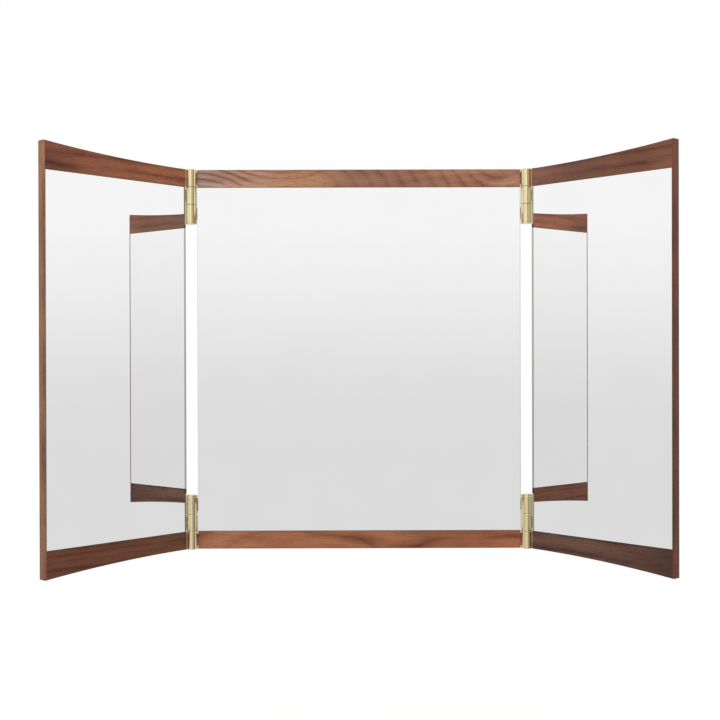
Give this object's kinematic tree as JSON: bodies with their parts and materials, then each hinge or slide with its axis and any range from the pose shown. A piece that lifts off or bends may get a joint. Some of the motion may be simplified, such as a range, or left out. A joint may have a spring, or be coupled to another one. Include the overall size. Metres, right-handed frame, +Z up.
{
  "type": "folding wall mirror",
  "caption": "Folding wall mirror: a fixed centre panel between hinged side wings with flared ends, glass set flush in walnut frames, on brass barrel hinges and keyhole wall hangers.",
  "frame": {"origin": "on the wall plane, behind the middle of the centre panel and midway between the four keyhole entry holes", "axes": "+Y into the wall, so the mirrors face -Y; +Z up; +X to the right of someone facing the mirror"},
  "size_m": [1.2192, 0.2776, 0.836],
  "materials": {
    "walnut": "solid American walnut, sanded and oiled",
    "walnut_veneer": "walnut-veneered plywood, oiled",
    "mirror_glass": "silvered float glass with polished edges",
    "foam_tape": "closed-cell foam mounting tape",
    "beech": "fluted beech dowel",
    "zinc_plated_steel": "bright zinc-plated pressed steel",
    "felt": "pressed brown wool felt",
    "polished_brass": "turned and polished solid brass",
    "nylon": "thin dark nylon washer"
  },
  "bodies": {
    "centre_panel": {"bottom_left_hinge_end_leaf": "polished_brass", "bottom_left_hinge_inner_leaf": "polished_brass", "bottom_left_hinge_pin": "polished_brass", "bottom_left_hinge_plug": "polished_brass", "bottom_left_hinge_washers": "nylon", "bottom_right_hinge_end_leaf": "polished_brass", "bottom_right_hinge_inner_leaf": "polished_brass", "bottom_right_hinge_pin": "polished_brass", "bottom_right_hinge_plug": "polished_brass", "bottom_right_hinge_washers": "nylon", "centre_backing_board": "walnut_veneer", "centre_bottom_rail": "walnut", "centre_dowels": "beech", "centre_hinge_screws": "polished_brass", "centre_left_stile": "walnut", "centre_mirror": "mirror_glass", "centre_mirror_tape": "foam_tape", "centre_right_stile": "walnut", "centre_top_rail": "walnut", "centre_wall_pads": "felt", "hanger_plate_bottom_left": "zinc_plated_steel", "hanger_plate_bottom_right": "zinc_plated_steel", "hanger_plate_top_left": "zinc_plated_steel", "hanger_plate_top_right": "zinc_plated_steel", "hanger_screws": "zinc_plated_steel", "top_left_hinge_end_leaf": "polished_brass", "top_left_hinge_inner_leaf": "polished_brass", "top_left_hinge_pin": "polished_brass", "top_left_hinge_plug": "polished_brass", "top_left_hinge_washers": "nylon", "top_right_hinge_end_leaf": "polished_brass", "top_right_hinge_inner_leaf": "polished_brass", "top_right_hinge_pin": "polished_brass", "top_right_hinge_plug": "polished_brass", "top_right_hinge_washers": "nylon"},
    "left_wing": {"bottom_left_hinge_wing_leaf": "polished_brass", "left_wing_backing_board": "walnut_veneer", "left_wing_bottom_rail": "walnut", "left_wing_dowels": "beech", "left_wing_hinge_screws": "polished_brass", "left_wing_inner_stile": "walnut", "left_wing_mirror": "mirror_glass", "left_wing_mirror_tape": "foam_tape", "left_wing_outer_stile": "walnut", "left_wing_top_rail": "walnut", "left_wing_wall_pads": "felt", "top_left_hinge_wing_leaf": "polished_brass"},
    "right_wing": {"bottom_right_hinge_wing_leaf": "polished_brass", "right_wing_backing_board": "walnut_veneer", "right_wing_bottom_rail": "walnut", "right_wing_dowels": "beech", "right_wing_hinge_screws": "polished_brass", "right_wing_inner_stile": "walnut", "right_wing_mirror": "mirror_glass", "right_wing_mirror_tape": "foam_tape", "right_wing_outer_stile": "walnut", "right_wing_top_rail": "walnut", "right_wing_wall_pads": "felt", "top_right_hinge_wing_leaf": "polished_brass"}
  },
  "joints": [
    {"name": "left_wing_hinge", "type": "hinge", "parent": "centre_panel", "child": "left_wing", "pos_m": [-0.353, -0.0249, 0], "axis": [0, 0, 1], "range_deg": [-46.7, 133.3]},
    {"name": "right_wing_hinge", "type": "hinge", "parent": "centre_panel", "child": "right_wing", "pos_m": [0.353, -0.0249, 0], "axis": [0, 0, -1], "range_deg": [-46.7, 133.3]}
  ]
}
